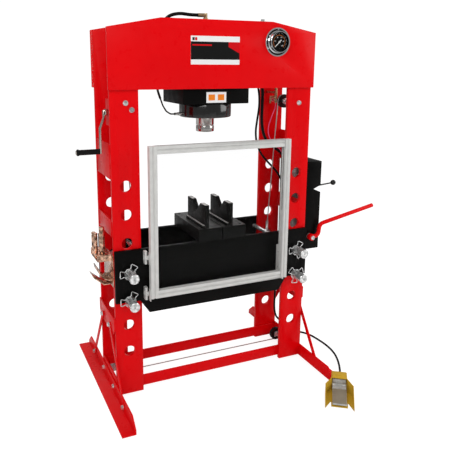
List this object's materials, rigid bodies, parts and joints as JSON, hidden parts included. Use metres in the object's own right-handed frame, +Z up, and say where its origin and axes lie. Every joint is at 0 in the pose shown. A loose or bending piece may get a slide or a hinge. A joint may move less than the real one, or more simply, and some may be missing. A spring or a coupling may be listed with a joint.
{
  "type": "hydraulic shop press",
  "caption": "Floor-standing H-frame shop press with top cylinder, pinned bed, V-blocks, clear guard, winch, air pump cabinet, hand pump lever and foot valve.",
  "frame": {"origin": "on the floor, under the middle of the press without its free hose", "axes": "+Z up, +X towards the pump cabinet, +Y to the back; the gauge looks towards -Y"},
  "size_m": [1.7734, 1.2446, 1.9747],
  "materials": {
    "frame_paint": "glossy red enamel",
    "black_paint": "satin black enamel",
    "zinc": "bright zinc plate",
    "ram_chrome": "polished hard chrome",
    "plate_steel": "ground steel with dark sides",
    "guard_alu": "natural anodised",
    "clear_pane": "clear sheet",
    "dial_black": "matt dial",
    "needle_white": "white",
    "label_film": "printed film",
    "black_rubber": "matt",
    "hose_rubber": "semi matt",
    "rope_fibre": "galvanised strand",
    "ball_plastic": "gloss black",
    "sheave_black": "satin",
    "brass_fitting": "machined",
    "copper_finish": "copper lacquer",
    "pedal_yellow": "yellow enamel",
    "pedal_grey": "light grey",
    "pad_taupe": "ribbed",
    "air_plastic": "clear red"
  },
  "bodies": {
    "frame": {"head_front_plate": "frame_paint", "head_rear_plate": "frame_paint", "head_cheeks": "frame_paint", "uprights_left": "frame_paint", "uprights_right": "frame_paint", "post_ties": "frame_paint", "floor_rails": "frame_paint", "feet": "frame_paint", "braces": "frame_paint", "frame_bolts": "zinc", "saddle": "black_paint", "cylinder": "black_paint", "gauge_case": "zinc", "gauge_dial": "dial_black", "gauge_lens": "clear_pane", "label_plates": "label_film", "winch_frame": "black_paint", "sheave_mounts": "zinc", "rope_long": "rope_fibre", "rope_short": "rope_fibre", "cabinet": "black_paint", "air_pump": "black_paint", "handle_pin": "zinc", "pedal_base": "pedal_yellow", "pedal_block": "pedal_grey", "tool_rack": "copper_finish", "press_tools": "copper_finish", "hydraulic_fittings": "brass_fitting", "hose_upper": "hose_rubber", "hose_lower": "hose_rubber", "air_line": "air_plastic", "foot_hose": "hose_rubber"},
    "ram": {"ram_rod": "ram_chrome", "ram_nose": "ram_chrome"},
    "bed": {"bed_front_plate": "black_paint", "bed_rear_plate": "black_paint", "bed_spacers": "black_paint", "hoist_fittings": "zinc", "arbor_plates": "plate_steel", "vee_blocks": "plate_steel", "guard_mounts": "zinc", "guard_bolts": "zinc"},
    "guard": {"guard_frame": "guard_alu", "guard_pane": "clear_pane"},
    "pin_1": {"bed_pin_1": "zinc"},
    "pin_2": {"bed_pin_2": "zinc"},
    "pin_3": {"bed_pin_3": "zinc"},
    "pin_4": {"bed_pin_4": "zinc"},
    "crank": {"winch_drum": "black_paint", "crank_arm": "zinc"},
    "crank_handle": {"crank_grip": "black_rubber"},
    "sheave_a": {"sheave_top": "sheave_black"},
    "sheave_b": {"sheave_low_right": "sheave_black"},
    "sheave_c": {"sheave_low_left": "sheave_black"},
    "pump_lever": {"pump_handle": "frame_paint"},
    "valve_control": {"valve_lever": "zinc", "lever_ball": "ball_plastic"},
    "foot_plate": {"pedal_treadle": "pedal_grey", "pedal_pad": "pad_taupe"},
    "needle": {"gauge_needle": "needle_white"}
  },
  "joints": [
    {"name": "ram_stroke", "type": "slide", "parent": "frame", "child": "ram", "axis": [0, 0, -1], "range_m": [0, 0.3]},
    {"name": "guard_swing", "type": "hinge", "parent": "bed", "child": "guard", "pos_m": [-0.5837, -0.07218, 0.555], "axis": [0, 0, -1], "range_deg": [0, 70]},
    {"name": "bed_lift", "type": "slide", "parent": "frame", "child": "bed", "axis": [0, 0, 1], "range_m": [0, 0.007]},
    {"name": "pin_1_pull", "type": "slide", "parent": "bed", "child": "pin_1", "axis": [0, -1, 0], "range_m": [0, 0.34]},
    {"name": "pin_2_pull", "type": "slide", "parent": "bed", "child": "pin_2", "axis": [0, -1, 0], "range_m": [0, 0.34]},
    {"name": "pin_3_pull", "type": "slide", "parent": "bed", "child": "pin_3", "axis": [0, -1, 0], "range_m": [0, 0.34]},
    {"name": "pin_4_pull", "type": "slide", "parent": "bed", "child": "pin_4", "axis": [0, -1, 0], "range_m": [0, 0.34]},
    {"name": "crank_turn", "type": "hinge", "parent": "frame", "child": "crank", "pos_m": [-0.1757, 0.04982, 1.485], "axis": [1, 0, 0], "continuous": true},
    {"name": "grip_spin", "type": "hinge", "parent": "crank", "child": "crank_handle", "pos_m": [-0.1757, 0.04982, 1.295], "axis": [1, 0, 0], "continuous": true},
    {"name": "sheave_a_spin", "type": "hinge", "parent": "frame", "child": "sheave_a", "pos_m": [0.3113, 0.12982, 1.513], "axis": [0, 1, 0], "continuous": true},
    {"name": "sheave_b_spin", "type": "hinge", "parent": "frame", "child": "sheave_b", "pos_m": [0.3093, 0.12982, 0.088], "axis": [0, 1, 0], "continuous": true},
    {"name": "sheave_c_spin", "type": "hinge", "parent": "frame", "child": "sheave_c", "pos_m": [-0.6607, 0.12982, 0.088], "axis": [0, 1, 0], "continuous": true},
    {"name": "pump_stroke", "type": "hinge", "parent": "frame", "child": "pump_lever", "pos_m": [0.4503, 0.00082, 0.728], "axis": [0, -1, 0], "range_deg": [-10, 50]},
    {"name": "valve_throw", "type": "hinge", "parent": "frame", "child": "valve_control", "pos_m": [0.4523, 0.06982, 1.01], "axis": [0, -1, 0], "range_deg": [-9, 5]},
    {"name": "treadle_press", "type": "hinge", "parent": "frame", "child": "foot_plate", "pos_m": [0.36612, -0.44132, 0.04], "axis": [0.8171, -0.5764, 0], "range_deg": [0, 2.5], "stiffness_Nm_per_rad": 8, "springref_deg": -17.19},
    {"name": "needle_sweep", "type": "hinge", "parent": "frame", "child": "needle", "pos_m": [0.1573, 0.12982, 1.829], "axis": [0, 1, 0], "range_deg": [0, 270]}
  ],
  "couplings": [
    {"joint": "sheave_a_spin", "follows": "crank_turn", "ratio": 0.7778},
    {"joint": "sheave_b_spin", "follows": "crank_turn", "ratio": -0.7778},
    {"joint": "sheave_c_spin", "follows": "crank_turn", "ratio": -0.7778}
  ]
}
